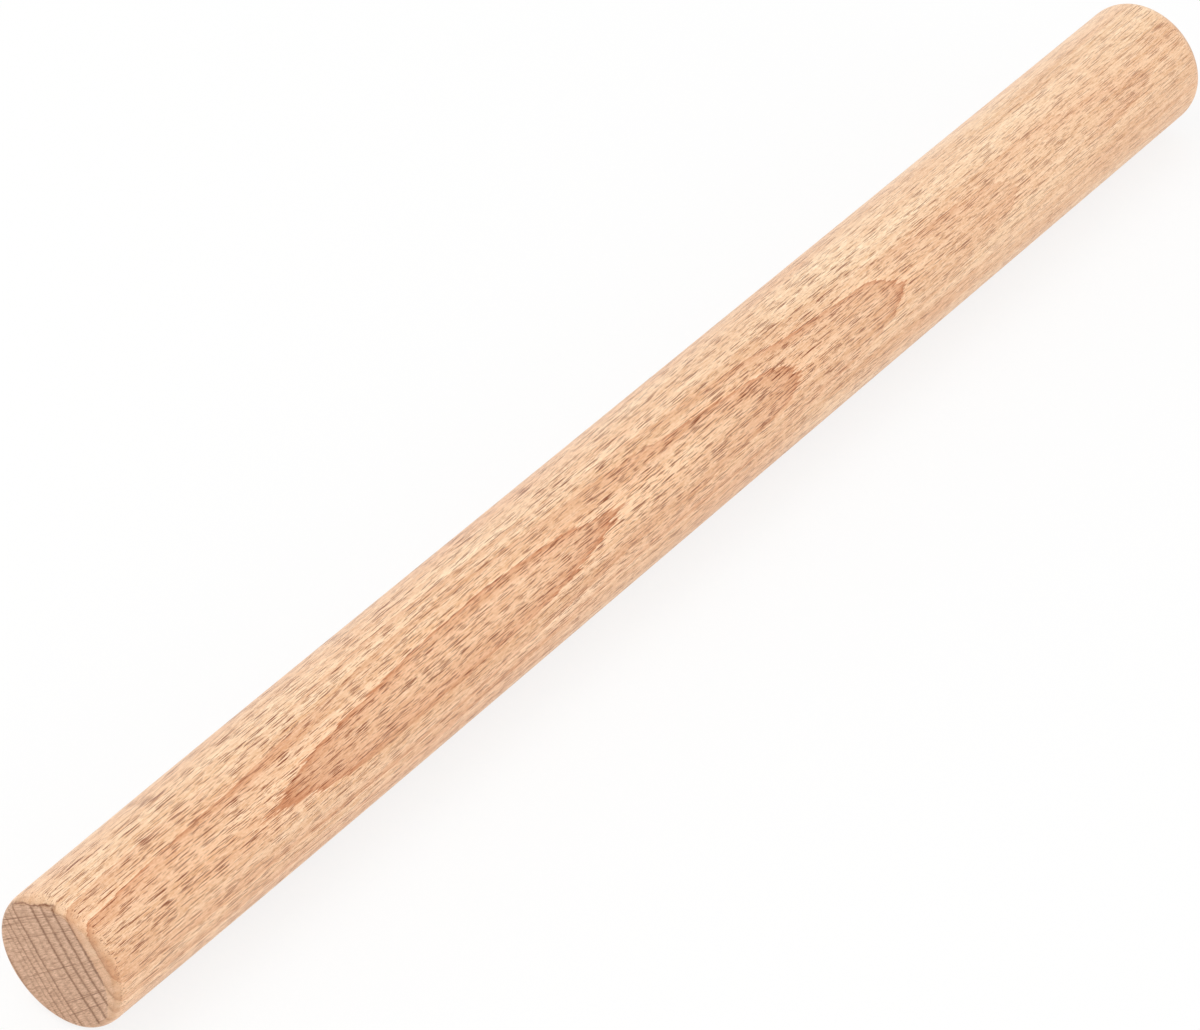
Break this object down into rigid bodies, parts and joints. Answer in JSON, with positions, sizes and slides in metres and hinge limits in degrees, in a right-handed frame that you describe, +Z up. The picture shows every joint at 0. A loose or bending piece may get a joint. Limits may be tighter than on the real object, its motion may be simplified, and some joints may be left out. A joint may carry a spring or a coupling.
{
  "type": "dowel rolling pin",
  "caption": "Straight dowel rolling pin turned from one piece of beech, with flat end faces and hand-eased rims.",
  "frame": {"origin": "on the pin's axis, halfway between its two end faces", "axes": "+X along the axis, from the slightly thinner end towards the full-size end; +Z up, with the pin lying level on its barrel"},
  "size_m": [0.5, 0.04, 0.04],
  "materials": {
    "beech": "sanded, unfinished"
  },
  "bodies": {
    "root": {"dowel": "beech"}
  },
  "joints": []
}
